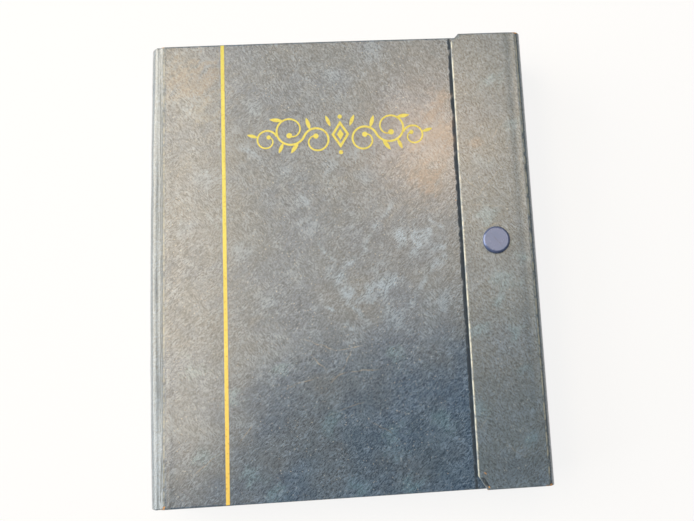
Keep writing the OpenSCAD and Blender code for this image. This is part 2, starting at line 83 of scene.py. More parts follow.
# Sizes of the wrapping: how far the leather is turned in, the bare strip at a fold, rounded and cut
# corners, the soft edge where it turns over a board, the grid it is cut into and its rubbed places
turn_in = 12 * MM
narrow_turn = 5 * MM
strip_t = 0.75 * MM
corner_r = 3 * MM
flap_cut_w = 4.5 * MM
flap_cut_head = 5 * MM
flap_cut_tail = 7.5 * MM
fold_r = 0.55 * MM
grid_step = 3.6 * MM
edge_line = 1.1 * MM
corner_rub = 5 * MM
roll_rub = 1.5 * MM

# How far the covers swell and the spine bows outwards, most at the middle
cover_crown = 0.8 * MM
spine_bow = 1.2 * MM

# The stud's cap: its rounded rim and foot, the lip and the ring round its sunk face, and its post
cap_rim = 1.2 * MM
cap_foot = 0.35 * MM
cap_lip = 0.25 * MM
cap_ring = 0.2 * MM
cap_sink = 0.04 * MM
cap_post_r = 1.8 * MM

# The foil, and how far it stands off the leather
foil_t = 0.06 * MM
foil_gap = 0.02 * MM


# ---- Working on one piece at a time ----

def only(piece):
    """Makes piece the one that is selected and active."""
    bpy.ops.object.select_all(action="DESELECT")
    piece.select_set(True)
    bpy.context.view_layer.objects.active = piece


def edit(piece):
    only(piece)
    bpy.ops.object.mode_set(mode="EDIT")
    bpy.ops.mesh.select_all(action="DESELECT")


def leave_edit():
    bpy.ops.object.mode_set(mode="OBJECT")


def pick(kind, wanted):
    """Selects the faces or edges of the piece in hand for which wanted(part) is true."""
    bpy.ops.mesh.select_mode(type=kind)
    bpy.ops.mesh.select_all(action="DESELECT")
    shape = bmesh.from_edit_mesh(bpy.context.object.data)
    shape.normal_update()
    parts = {"FACE": shape.faces, "EDGE": shape.edges}[kind]
    for part in parts:
        if wanted(part):
            part.select_set(True)
    shape.select_flush_mode()
    bmesh.update_edit_mesh(bpy.context.object.data)


def pick_all():
    bpy.ops.mesh.select_all(action="SELECT")


def cut_all(place, direction, **choices):
    """Cuts all of the piece in hand along a plane."""
    pick_all()
    bpy.ops.mesh.bisect(plane_co=place, plane_no=direction, **choices)


def tidy_mesh():
    """Joins the corners that lie in one place and faces everything outwards."""
    pick_all()
    bpy.ops.mesh.remove_doubles(threshold=SAME)
    bpy.ops.mesh.normals_make_consistent(inside=False)


def settle(piece):
    """Puts the piece's place and turn into its mesh."""
    only(piece)
    bpy.ops.object.transform_apply(location=True, rotation=True, scale=True)


def put_in_scene(thing):
    bpy.context.scene.collection.objects.link(thing)


def apply_last(piece):
    """Applies the piece's last modifier."""
    only(piece)
    bpy.ops.object.modifier_apply(modifier=piece.modifiers[-1].name)


def add_block(name, low, high):
    """A box between two corners, to be shaped."""
    low, high = Vector(low), Vector(high)
    bpy.ops.object.select_all(action="DESELECT")
    bpy.ops.mesh.primitive_cube_add(size=1, location=(low + high) / 2, scale=high - low)
    block = bpy.context.object
    block.name = name
    block.data.name = name
    settle(block)
    return block


def push(piece, amount, direction, share, texture=None, guide=None):
    """Moves each point by amount times share(place), along an axis or its normal. A texture makes
    the move uneven, and guide is the object whose coordinates it is read in."""
    group = piece.vertex_groups.new(name="share")
    for point in piece.data.vertices:
        weight = share(point.co)
        if weight > 0:
            group.add([point.index], min(weight, 1), "REPLACE")
    change = piece.modifiers.new("push", "DISPLACE")
    change.direction = direction
    change.strength = amount
    change.mid_level = 0.5 if texture else 0
    change.texture = texture
    change.vertex_group = group.name
    if guide:
        change.texture_coords = "OBJECT"
        change.texture_coords_object = guide
    apply_last(piece)
    piece.vertex_groups.remove(piece.vertex_groups["share"])


def near(value, middle, width):
    """1 where value is at the middle, falling softly to 0 at about twice the width."""
    return math.exp(-((value - middle) / width) ** 2)


def left_of(value, edge, soft):
    """1 up to the edge, falling to 0 over soft beyond it."""
    return max(0, min(1, (edge - value) / soft + 1))


def inside(value, low, high, soft):
    """1 between low and high, falling to 0 over soft outside them."""
    return max(0, min(left_of(value, high, soft), (value - low) / soft + 1))


# ---- Leatherette: five boards wrapped in one marbled sheet ----
# Each piece is shaped lying flat: its outer face at z = 0 facing up, the fold at x = 0, the panel
# towards +X. Then it is stood in its place.

def round_free_corners(panel_w, panel_h):
    """Rounds the two upright corner edges at the panel's free end."""
    def at_corner(edge):
        a, b = edge.verts[0].co, edge.verts[1].co
        return min(a.x, b.x) > panel_w - CLOSE and abs(a.y - b.y) < SAME
    pick("EDGE", at_corner)
    bpy.ops.mesh.bevel(offset=corner_r, segments=6, profile=0.5)


def cut_free_corners(panel_w, panel_h):
    """Cuts the free end's corners off. The head is at -Y: the flap is turned half round later."""
    for side, length in ((-1, flap_cut_head), (1, flap_cut_tail)):
        corner = Vector((panel_w, side * (panel_h / 2 - length), 0))
        away = Vector((length, side * flap_cut_w, 0)).normalized()
        cut_all(corner, away, use_fill=True, clear_outer=True)


def hollow_for_board(panel_w, panel_h, turn):
    """From the inner face, the window between the turned-in edges, then the room for the board."""
    middle = (panel_w / 2, 0, -wrap_t)

    def resize(w_from, h_from, w_to, h_to):
        bpy.ops.mesh.extrude_region()
        bpy.ops.transform.resize(value=(w_to / w_from, h_to / h_from, 1), center_override=middle)

    pick("FACE", lambda face: face.normal.z < -0.9)
    window_w = panel_w - 2 * turn
    window_h = panel_h - 2 * turn
    board_w = panel_w - 2 * skin_t
    board_h = panel_h - 2 * skin_t
    resize(panel_w, panel_h, window_w, window_h)
    bpy.ops.mesh.extrude_region_move(TRANSFORM_OT_translate={"value": (0, 0, skin_t)})
    resize(window_w, window_h, board_w, board_h)
    bpy.ops.mesh.extrude_region_move(TRANSFORM_OT_translate={"value": (0, 0, board_t)})


def spin_roll(radius):
    """Rolls the sheet down over the fold: a quarter turn of the end face's outer strip."""
    def at_fold(face):
        return face.normal.x < -0.9 and face.calc_center_median().x < SAME

    pick("FACE", at_fold)
    bpy.ops.mesh.bisect(plane_co=(0, 0, -strip_t), plane_no=(0, 0, 1))
    pick("FACE", lambda face: at_fold(face) and face.calc_center_median().z > -strip_t)
    steps = max(8, round(radius / MM * 1.5))
    bpy.ops.mesh.spin(steps=steps, angle=math.pi / 2, center=(0, 0, -radius), axis=(0, 1, 0))


def soften_folds(panel_w, radius, has_free_end):
    """Rounds the edges where the sheet turns over the boards, outside and inside."""
    def outer(face):
        middle = face.calc_center_median()
        if middle.x > 0:
            return face.normal.z > 0.9
        reach = math.hypot(middle.x, middle.z + radius)
        return abs(face.normal.y) < 0.1 and reach > radius - strip_t / 2

    def wall(face):
        middle = face.calc_center_median()
        at_end = has_free_end and face.normal.x > 0.1 and middle.x > panel_w * 0.8
        return abs(face.normal.z) < 0.1 and (abs(face.normal.y) > 0.9 or at_end) or (
            middle.x < 0 and abs(face.normal.y) > 0.9)

    def outer_fold(edge):
        if len(edge.link_faces) != 2:
            return False
        a, b = edge.link_faces
        return outer(a) and wall(b) or outer(b) and wall(a)

    def inner_fold(edge):
        if len(edge.link_faces) != 2 or min(v.co.x for v in edge.verts) < CLOSE:
            return False
        low = max(v.co.z for v in edge.verts) < -wrap_t + SAME
        return low and any(wall(face) for face in edge.link_faces)

    pick("EDGE", inner_fold)
    bpy.ops.mesh.bevel(offset=fold_r * 0.7, segments=2, profile=0.5)
    pick("EDGE", outer_fold)
    bpy.ops.mesh.bevel(offset=fold_r, segments=3, profile=0.5)


def rule_grid(panel_w, panel_h):
    """Cuts the sheet into a fine grid for the unevenness to follow, and along rubbed edges."""
    across = round(panel_w / grid_step)
    lengthways = round(panel_h / grid_step)
    for i in range(1, across):
        cut_all((panel_w * i / across, 0, 0), (1, 0, 0))
    for i in range(1, lengthways):
        cut_all((0, panel_h * (i / lengthways - 0.5), 0), (0, 1, 0))
    for side in (-1, 1):
        cut_all((0, side * (panel_h / 2 - edge_line), 0), (0, 1, 0))
    cut_all((panel_w - edge_line, 0, 0), (1, 0, 0))


def mark_wear(sheet, panel_w, panel_h, free_end):
    """Writes how rubbed each point is: 0 on the flat, 0.5 along outer folds, 1 at the corners."""
    wear = sheet.data.attributes.new("wear", "FLOAT", "POINT")
    for point, value in zip(sheet.data.vertices, wear.data):
        x, y, z = point.co
        near_side = panel_h / 2 - abs(y) < edge_line * 0.9
        near_end = free_end and panel_w - x < edge_line * 0.9
        at_corner = math.hypot(panel_w - x, panel_h / 2 - abs(y)) < corner_rub and free_end
        at_roll = math.hypot(x, panel_h / 2 - abs(y)) < roll_rub
        if z > -fold_r * 1.5 or x < 0:
            value.value = 0.5 * (near_side or near_end) + 0.5 * (at_corner or at_roll)


def wrapped_panel(name, panel_w, panel_h, turn, radius=0, free_end=None):
    """One board's leatherette, lying flat, with its roll where radius isn't 0."""
    sheet = add_block(name, (0, -panel_h / 2, -wrap_t), (panel_w, panel_h / 2, 0))
    edit(sheet)
    if free_end:
        free_end(panel_w, panel_h)
    hollow_for_board(panel_w, panel_h, turn)
    if radius:
        spin_roll(radius)
    soften_folds(panel_w, radius, free_end is not None)
    rule_grid(panel_w, panel_h)
    tidy_mesh()
    leave_edit()
    mark_wear(sheet, panel_w, panel_h, free_end is not None)
    return sheet


def stand(sheet, from_fold, across, outward, place):
    """Turns the flat sheet so that its X, Y and Z lie these ways, and moves it to its place."""
    turn = Matrix((from_fold, across, outward)).transposed().to_4x4()
    sheet.matrix_world = Matrix.Translation(place) @ turn
    settle(sheet)


def smooth(piece, angle=35):
    only(piece)
    bpy.ops.object.shade_smooth_by_angle(angle=math.radians(angle))


# ---- Each leatherette piece in its place, with its own unevenness ----

def soft_texture(name, size, depth):
    made = bpy.data.textures.new(name, "CLOUDS")
    made.noise_scale = size
    made.noise_depth = depth
    return made


unevenness = soft_texture("unevenness", 45 * MM, 1)
wrinkling = soft_texture("wrinkling", 2.2 * MM, 2)
wrinkle_guide = bpy.data.objects.new("wrinkle_guide", None)
wrinkle_guide.scale = (1, 14, 1)  # draws the wrinkles out along the spine
put_in_scene(wrinkle_guide)


def along_height(point):
    """1 at the middle of the covers' height, 0 at head and tail."""
    return max(0, 1 - (2 * point.y / cover_h) ** 2)


def off_the_stud(point):
    away = math.hypot(point.x - cap_x, point.y - cap_y)
    return max(0, min(1, (away - cap_r - 1 * MM) / (8 * MM)))


def bow_roll(sheet, roll_end):
    """Bows the roll outwards with the spine."""
    def on_roll(point):
        return left_of(point.x, roll_end - 4 * MM, 5 * MM) * along_height(point)

    push(sheet, -spine_bow, "X", on_roll)


def make_front():
    """The front cover's sheet, slightly swollen, with a groove and wrinkles along the roll."""
    sheet = wrapped_panel("front_leather", front_high.x - front_low.x, cover_h, turn_in,
                          spine_roll, round_free_corners)
    stand(sheet, (1, 0, 0), (0, 1, 0), (0, 0, 1), Vector((front_low.x, 0, case_t)))

    def on_top(point):
        return inside(point.z, case_t - 0.2 * MM, case_t, 0.1 * MM)

    def across_width(point):
        share = (point.x - front_low.x) / (front_high.x - front_low.x)
        return max(0, 4 * share * (1 - share)) * inside(point.z, case_t - 1 * MM, case_t, 1 * MM)

    roll_end = front_low.x
    dip, groove, ridge, wrinkle = 0.3 * MM, 0.4 * MM, 0.25 * MM, 0.5 * MM
    push(sheet, -dip, "Z", lambda p: on_top(p) * off_the_stud(p) * along_height(p) ** 0.3,
         unevenness)
    push(sheet, cover_crown, "Z", across_width)
    push(sheet, -groove, "Z", lambda p: near(p.x, roll_end - 2.2 * MM, 1.3 * MM)
         * inside(p.z, case_t - 4 * MM, case_t, 1 * MM))
    push(sheet, ridge, "Z", lambda p: near(p.x, roll_end + 0.3 * MM, 1 * MM) * on_top(p))
    push(sheet, wrinkle, "NORMAL", lambda p: left_of(p.x, roll_end - 1 * MM, 1 * MM),
         wrinkling, wrinkle_guide)
    bow_roll(sheet, roll_end)
    return sheet


def make_back():
    sheet = wrapped_panel("back_leather", back_high.x - back_low.x, cover_h, turn_in, spine_roll)
    stand(sheet, (1, 0, 0), (0, -1, 0), (0, 0, -1), Vector((back_low.x, 0, 0)))
    bow_roll(sheet, back_low.x)
    return sheet


def make_spine():
    sheet = wrapped_panel("spine_leather", spine_high.z - spine_low.z, cover_h, narrow_turn)
    stand(sheet, (0, 0, 1), (0, 1, 0), (-1, 0, 0), Vector((spine_low.x, 0, spine_low.z)))
    push(sheet, -spine_bow, "X", along_height)
    return sheet


def make_fore_edge():
    sheet = wrapped_panel("fore_edge_leather", fore_high.z - fore_low.z, cover_h, turn_in,
                          flap_roll)
    stand(sheet, (0, 0, 1), (0, -1, 0), (1, 0, 0), Vector((fore_high.x, 0, fore_low.z)))
    return sheet


def make_flap():
    sheet = wrapped_panel("flap_leather", flap_high.x - flap_low.x, flap_h, turn_in,
                          flap_roll, cut_free_corners)
    stand(sheet, (-1, 0, 0), (0, -1, 0), (0, 0, 1), Vector((flap_high.x, flap_mid_y, flap_top)))
    groove = 0.35 * MM
    push(sheet, -groove, "Z", lambda p: near(p.x, flap_high.x - 0.4 * MM, 0.9 * MM)
         * inside(p.z, flap_top - 1 * MM, flap_top, 0.5 * MM))
    return sheet


front_leather = make_front()
back_leather = make_back()
spine_leather = make_spine()
fore_edge_leather = make_fore_edge()
flap_leather = make_flap()
case_sheets = (front_leather, back_leather, spine_leather)
flap_sheets = (fore_edge_leather, flap_leather)
for sheet in case_sheets + flap_sheets:
    smooth(sheet)


# ---- The press stud's enamelled cap ----

def make_cap():
    """A round cap with a soft rim and a slightly sunk face, on a short post."""
    height = cap_high.z - flap_top
    bpy.ops.object.select_all(action="DESELECT")
    bpy.ops.mesh.primitive_cylinder_add(
        vertices=96, radius=cap_r, depth=height, location=(cap_x, cap_y, flap_top + height / 2))
    cap = bpy.context.object
    cap.name = "stud_cap"
    settle(cap)
    edit(cap)
    pick("FACE", lambda face: face.normal.z < -0.9)
    bpy.ops.mesh.inset(thickness=cap_r - cap_post_r)
    bpy.ops.mesh.extrude_region_move(TRANSFORM_OT_translate={"value": (0, 0, cap_low.z - flap_top)})
    pick("EDGE", lambda edge: min(v.co.z for v in edge.verts) > cap_high.z - CLOSE)
    bpy.ops.mesh.bevel(offset=cap_rim, segments=6, profile=0.42)
    pick("FACE", lambda face: face.normal.z > 0.99)
    bpy.ops.mesh.inset(thickness=cap_lip, depth=-cap_sink)
    bpy.ops.mesh.inset(thickness=cap_ring)
    pick("EDGE", lambda edge: all(abs(v.co.z - flap_top) < SAME for v in edge.verts)
         and (edge.verts[0].co - Vector((cap_x, cap_y, flap_top))).length > cap_r - CLOSE)
    bpy.ops.mesh.bevel(offset=cap_foot, segments=3, profile=0.5)
    pick_all()
    bpy.ops.mesh.normals_make_consistent(inside=False)
    leave_edit()
    smooth(cap, 30)
    return cap


cap = make_cap()


# ---- Foil: the CAD outlines pressed onto the leather ----

def make_foil(name, node):
    """The top faces of a foil node, laid on the leatherette and given a thickness."""
    foil = frame["nodes"][node].copy()
    foil.data = foil.data.copy()
    for key in list(foil.keys()):
        del foil[key]
    foil.parent = None
    foil.name = name
    foil.data.name = name
    put_in_scene(foil)
    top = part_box(node)[1].z
    edit(foil)
    pick_all()
    bpy.ops.mesh.remove_doubles(threshold=SAME)
    pick("FACE", lambda face: min(v.co.z for v in face.verts) < top - SAME)
    bpy.ops.mesh.delete(type="FACE")
    pick_all()
    bpy.ops.mesh.dissolve_limited(angle_limit=math.radians(1))
    cuts = round(cover_h / (2 * grid_step))
    for i in range(1, cuts):
        cut_all((0, cover_h * (i / cuts - 0.5), 0), (0, 1, 0))
    pick_all()
    bpy.ops.mesh.quads_convert_to_tris()
    bpy.ops.transform.translate(value=(0, 0, 3 * MM))  # clear of the cover, to be dropped on it
    leave_edit()
    drop = foil.modifiers.new("drop", "SHRINKWRAP")
    drop.target = front_leather
    drop.wrap_method = "PROJECT"
    drop.use_project_z = True
    drop.use_negative_direction = True
    drop.use_positive_direction = False
    drop.offset = foil_gap
    apply_last(foil)
    body = foil.modifiers.new("body", "SOLIDIFY")
    body.thickness = foil_t
    body.offset = 1
    apply_last(foil)
    return foil


rule_foil = make_foil("rule_foil", "gold_rule")
ornament_foil = make_foil("ornament_foil", "gold_ornament")


# ---- Building materials ----

def connect(tree, socket, value):
    """Gives an input its value: a number, a colour, or another node's output."""
    if isinstance(value, bpy.types.NodeSocket):
        tree.links.new(value, socket)
    elif isinstance(value, bpy.types.Node):
        tree.links.new(value.outputs[0], socket)
    else:
        socket.default_value = value


def fill(tree, sockets, values):
    """Gives sockets their values in order."""
    for socket, value in zip(sockets, values):
        connect(tree, socket, value)


def feed(tree, node, **inputs):
    """Gives a node's inputs their values; Base_Color=... is the input named Base Color."""
    for name, value in inputs.items():
        connect(tree, node.inputs[name.replace("_", " ")], value)


def add(tree, kind, settings=None, **inputs):
    """A new node with its settings and inputs."""
    made = tree.nodes.new("ShaderNode" + kind)
    for name, value in (settings or {}).items():
        setattr(made, name, value)
    feed(tree, made, **inputs)
    return made


def calc(tree, operation, *values, clamp=False):
    made = add(tree, "Math", {"operation": operation, "use_clamp": clamp})
    fill(tree, made.inputs, values)
    return made.outputs[0]


def times(tree, *factors):
    """The product of all the factors."""
    made = factors[0]
    for factor in factors[1:]:
        made = calc(tree, "MULTIPLY", made, factor)
    return made


def vector_calc(tree, operation, *values, **inputs):
    made = add(tree, "VectorMath", {"operation": operation}, **inputs)
    fill(tree, [socket for socket in made.inputs if socket.name != "Scale"], values)
    return made


def mix(tree, share, first, second, how="MIX"):
    """Two colours mixed, with this share of the second."""
    made = add(tree, "Mix", {"data_type": "RGBA", "blend_type": how})
    fill(tree, (made.inputs[0], made.inputs[6], made.inputs[7]), (share, first, second))
    return made.outputs[2]


def lay(tree, under, tone, strength, *masks):
    """Lays a tone over what is under it, where all the masks are, at this strength."""
    return mix(tree, times(tree, *masks, strength), under, tone)


def ramp(tree, value, low, high, to_low=0.0, to_high=1.0):
    """Takes low..high smoothly to to_low..to_high."""
    made = add(tree, "MapRange", {"interpolation_type": "SMOOTHSTEP"}, Value=value,
               From_Min=low, From_Max=high, To_Min=to_low, To_Max=to_high)
    return made.outputs["Result"]


def noise(tree, place, size, detail=3.0, rough=0.5, distortion=0.0):
    """Soft noise whose patches are about size millimetres, where place is in millimetres."""
    return add(tree, "TexNoise", Vector=place, Scale=1 / size, Detail=detail, Roughness=rough,
               Distortion=distortion)


def new_group(name, inputs, outputs):
    """An empty node group that works on a place. inputs are {name: (kind, default)} and outputs
    {name: kind}. Returns its tree, place and other inputs, and the node that takes the outputs."""
    tree = bpy.data.node_groups.new(name, "ShaderNodeTree")
    for title, (kind, value) in {"Place": ("Vector", None), **inputs}.items():
        socket = tree.interface.new_socket(title, in_out="INPUT", socket_type="NodeSocket" + kind)
        if value is not None:
            socket.default_value = value
    for title, kind in outputs.items():
        tree.interface.new_socket(title, in_out="OUTPUT", socket_type="NodeSocket" + kind)
    given = tree.nodes.new("NodeGroupInput").outputs
    return tree, given["Place"], given, tree.nodes.new("NodeGroupOutput")


def use(tree, group, **inputs):
    """Places a node group in a material, with its own values."""
    return add(tree, "Group", {"node_tree": group}, **inputs).outputs


def new_material(name):
    """A material with a Principled shader; returns (material, node tree, shader)."""
    material = bpy.data.materials.new(name)
    material.use_nodes = True
    tree = material.node_tree
    return material, tree, tree.nodes["Principled BSDF"]


def emboss(tree, shader, height, strength, depth):
    """Raises and sinks the surface by a pattern of heights; depth is in metres."""
    feed(tree, shader, Normal=add(tree, "Bump", Height=height, Strength=strength, Distance=depth))


def place_mm(tree):
    """The point in the object's own coordinates, in millimetres."""
    place = add(tree, "TexCoord").outputs["Object"]
    return vector_calc(tree, "SCALE", place, Scale=1 / MM).outputs[0]


def bent_place(tree, place, size, reach, upright=0):
    """The place moved about a little, so that what is laid on it looks hand-made."""
    bend = noise(tree, place, size, 2.0)
    shift = vector_calc(tree, "MULTIPLY_ADD", bend.outputs["Color"],
                        (2 * reach, 2 * reach, 2 * upright), (-reach, -reach, -upright))
    return vector_calc(tree, "ADD", place, shift).outputs[0]


def along(tree, place, axis):
    """The place's distance along an axis."""
    return add(tree, "SeparateXYZ", Vector=place).outputs[axis]


def colour(red, green, blue):
    """A colour as it looks on a screen, 0 to 255, as the shader's linear value."""
    def linear(value):
        value /= 255
        return value / 12.92 if value <= 0.04045 else ((value + 0.055) / 1.055) ** 2.4
    return (linear(red), linear(green), linear(blue), 1.0)


# ---- Effects that several materials share ----

def make_marbling():
    """Soft clouds, paler veins and fine mottling between four colours."""
    tree, place, given, result = new_group("marbling", {
        "Cloud Size": ("Float", 30.0),
        "Ground": ("Color", None),
        "Warm": ("Color", None),
        "Pale": ("Color", None),
        "Deep": ("Color", None),
    }, {"Color": "Color"})
    # The patterns are read far apart, so that they don't lie on each other
    bent = bent_place(tree, place, 38, 11, 11)
    size = calc(tree, "DIVIDE", 1.0, given["Cloud Size"])
    clouds = add(tree, "TexNoise", Vector=bent, Scale=size, Detail=5.0, Roughness=0.62)
    warm = noise(tree, vector_calc(tree, "ADD", bent, (90, 40, 10)), 44, 3.0)
    deep = noise(tree, vector_calc(tree, "ADD", bent, (-60, 140, 70)), 26, 4.0)
    veins = add(tree, "TexVoronoi", {"feature": "DISTANCE_TO_EDGE"}, Vector=bent, Scale=1 / 46)
    vein_line = ramp(tree, veins.outputs["Distance"], 0.055, 0.0)
    vein_here = ramp(tree, noise(tree, place, 30, 2.0), 0.5, 0.68)
    mottle = noise(tree, place, 3.2, 4.0, 0.65)
    made = mix(tree, ramp(tree, warm, 0.4, 0.64, 0, 0.7), given["Ground"], given["Warm"])
    made = mix(tree, ramp(tree, deep, 0.46, 0.72, 0, 0.6), made, given["Deep"])
    made = lay(tree, made, given["Pale"], 0.5, ramp(tree, clouds, 0.5, 0.72))
    made = lay(tree, made, given["Pale"], 0.4, vein_line, vein_here)
    shade = ramp(tree, mottle, 0.3, 0.7, 0.88, 1.12)
    feed(tree, result, Color=mix(tree, 1.0, made, shade, "MULTIPLY"))
    return tree


def turned(tree, place, angle, stretch):
    """Coordinates for a pattern drawn out along a line at this angle."""
    made = add(tree, "Mapping", {"vector_type": "TEXTURE"}, Vector=place,
               Rotation=(0, 0, math.radians(angle)), Scale=(stretch, 1, 1))
    return made.outputs[0]


def make_grain():
    """Leather grain: short strokes falling one way at the head and the other way at the tail."""
    outputs = dict.fromkeys(("Height", "Hatch", "Hairs", "Smears", "Specks"), "Float")
    tree, place, _, result = new_group("leather grain", {}, outputs)
    height = along(tree, place, "Y")
    drift = calc(tree, "MULTIPLY_ADD", height, 0.0016, noise(tree, place, 26, 2.0).outputs[0])
    falling = ramp(tree, drift, 0.44, 0.58)

    def strokes(angle):
        long_ones = noise(tree, turned(tree, place, angle, 3.2), 0.52, 2.0, 0.6).outputs[0]
        return calc(tree, "MULTIPLY_ADD", noise(tree, place, 0.45, 1.0).outputs[0], 0.35,
                    times(tree, long_ones, 0.65))

    def hair_lines(angle):
        wavy = noise(tree, turned(tree, place, angle, 2.4), 1.7, 2.0, 0.5, 1.0)
        away = calc(tree, "ABSOLUTE", calc(tree, "SUBTRACT", wavy, 0.5))
        return ramp(tree, away, 0.05, 0.0)

    def smears(angle):
        return noise(tree, turned(tree, place, angle, 2.6), 5.5, 4.0, 0.6, 0.6).outputs[0]

    hatch = mix(tree, falling, strokes(46), strokes(-52))
    hairs = mix(tree, falling, hair_lines(38), hair_lines(-60))
    thin_out = ramp(tree, noise(tree, place, 9, 3.0), 0.34, 0.6, 0.3, 1.0)
    hairs = times(tree, hairs, thin_out)
    smear = calc(tree, "MAXIMUM", smears(52), smears(-50))
    # Painted glints: rare pale specks where the grain would catch the light
    glints = ramp(tree, noise(tree, place, 0.7, 0.0), 0.78, 0.84)
    pebble = add(tree, "TexVoronoi", {"feature": "SMOOTH_F1"}, Vector=place, Scale=0.9,
                 Smoothness=0.6)
    low_pebble = ramp(tree, pebble.outputs["Distance"], 0.1, 0.75, 1.0, 0.0)
    body = calc(tree, "MULTIPLY_ADD", hatch, 0.8, times(tree, low_pebble, 0.1))
    feed(tree, result, Height=calc(tree, "MULTIPLY_ADD", hairs, 0.12, body), Hairs=hairs,
         Hatch=ramp(tree, hatch, 0.38, 0.62), Smears=ramp(tree, smear, 0.58, 0.72), Specks=glints)
    return tree


def make_crackle():
    """Fine cracks that run mostly across, as in a glossy skin that has dried."""
    tree, place, given, result = new_group("crackle", {"Cell": ("Float", 1.5)}, {"Cracks": "Float"})
    bent = bent_place(tree, place, 4.0, 1.2)
    size = calc(tree, "DIVIDE", 1.0, given["Cell"])
    cells = add(tree, "TexVoronoi", {"feature": "DISTANCE_TO_EDGE"},
                Vector=turned(tree, bent, 4, 1.9), Scale=size)
    feed(tree, result, Cracks=ramp(tree, cells.outputs["Distance"], 0.16, 0.0))
    return tree


def make_streak():
    """A soft line between two points, broken up by noise."""
    tree, place, given, result = new_group("streak", {
        "From": ("Vector", None),
        "To": ("Vector", None),
        "Width": ("Float", 1.0),
    }, {"Mask": "Float"})
    line = vector_calc(tree, "SUBTRACT", given["To"], given["From"])
    away = vector_calc(tree, "SUBTRACT", place, given["From"])
    run = vector_calc(tree, "DOT_PRODUCT", away, line).outputs["Value"]
    whole = vector_calc(tree, "DOT_PRODUCT", line, line).outputs["Value"]
    share = calc(tree, "DIVIDE", run, whole, clamp=True)
    scaled = vector_calc(tree, "SCALE", line, Scale=share)
    gap = vector_calc(tree, "LENGTH", vector_calc(tree, "SUBTRACT", away, scaled)).outputs["Value"]
    body = ramp(tree, calc(tree, "DIVIDE", gap, given["Width"]), 1.0, 0.0)
    taper = calc(tree, "SINE", calc(tree, "MULTIPLY_ADD", share, math.pi * 0.86, 0.22))
    broken = ramp(tree, noise(tree, place, 3.0, 3.0), 0.34, 0.6, 0.25, 1.0)
    feed(tree, result, Mask=times(tree, body, taper, broken))
    return tree


def make_patch():
    """A cloudy patch about a point, with a torn edge."""
    tree, place, given, result = new_group("patch", {
        "Centre": ("Vector", None),
        "Radius": ("Float", 8.0),
    }, {"Mask": "Float"})
    gap = vector_calc(tree, "DISTANCE", place, given["Centre"]).outputs["Value"]
    fall = calc(tree, "SUBTRACT", 1.0, calc(tree, "DIVIDE", gap, given["Radius"]))
    cloud = noise(tree, turned(tree, place, 44, 1.7), 6.5, 5.0, 0.62)
    mixed = calc(tree, "ADD", fall, calc(tree, "MULTIPLY_ADD", cloud, 3.6, -1.9))
    feed(tree, result, Mask=ramp(tree, mixed, 0.0, 1.0))
    return tree


def make_paper():
    """Short fibres and cloudy tone of paper, card and greyboard."""
    tree, place, given, result = new_group("paper fibres", {
        "Fibre Size": ("Float", 0.5),
        "Contrast": ("Float", 0.15),
        "Color": ("Color", None),
    }, {"Color": "Color", "Height": "Float"})
    size = calc(tree, "DIVIDE", 1.0, given["Fibre Size"])
    stretched = turned(tree, place, 25, 4)
    fibre = add(tree, "TexNoise", Vector=stretched, Scale=size, Detail=4.0, Roughness=0.7)
    tone = noise(tree, place, 18, 3.0)
    mixed = calc(tree, "ADD", times(tree, fibre, 0.6), times(tree, tone, 0.4))
    low = calc(tree, "SUBTRACT", 1.0, given["Contrast"])
    high = calc(tree, "ADD", 1.0, given["Contrast"])
    shade = add(tree, "MapRange", Value=mixed, From_Min=0.3, From_Max=0.7, To_Min=low, To_Max=high)
    toned = mix(tree, 1.0, given["Color"], shade, "MULTIPLY")
    feed(tree, result, Color=toned, Height=fibre)
    return tree


def make_scuffs():
    """Hair scratches and smudges for metal: a roughness and a height."""
    tree, place, given, result = new_group("metal scuffs", {
        "Smooth": ("Float", 0.15),
        "Rough": ("Float", 0.35),
    }, {"Roughness": "Float", "Height": "Float", "Smudge": "Float"})
    stretched = turned(tree, place, 66, 16)
    hairs = add(tree, "TexNoise", Vector=stretched, Scale=6.0, Detail=3.0, Roughness=0.6)
    smudge = noise(tree, place, 5.0, 4.0)
    mixed = calc(tree, "ADD", times(tree, hairs, 0.35), times(tree, smudge, 0.65))
    rough = add(tree, "MapRange", Value=mixed, From_Min=0.35, From_Max=0.65, To_Min=given["Smooth"],
                To_Max=given["Rough"])
    feed(tree, result, Roughness=rough, Height=hairs, Smudge=smudge)
    return tree


marbling = make_marbling()
grain = make_grain()
crackle = make_crackle()
streak = make_streak()
patch = make_patch()
paper = make_paper()
scuffs = make_scuffs()


# ---- Leatherette ----

def flat_place(tree, place, level):
    """The place seen from above, and a mask that is 1 only at level and above it (millimetres)."""
    across = vector_calc(tree, "MULTIPLY", place, (1, 1, 0)).outputs[0]
    height = along(tree, place, "Z")
    return across, ramp(tree, height, level - 2.5, level - 0.5)


def marks_mask(tree, bent, marks):
    """One mask for patches (x, y, radius) and streaks (x, y, x, y, width), in millimetres."""
    total = None
    for mark in marks:
        if len(mark) == 3:
            x, y, radius = mark
            mask = use(tree, patch, Place=bent, Centre=(x, y, 0), Radius=radius)["Mask"]
        else:
            x0, y0, x1, y1, width = mark
            line = use(tree, streak, Place=bent, From=(x0, y0, 0), To=(x1, y1, 0), Width=width)
            mask = line["Mask"]
        total = mask if total is None else calc(tree, "MAXIMUM", total, mask)
    return total


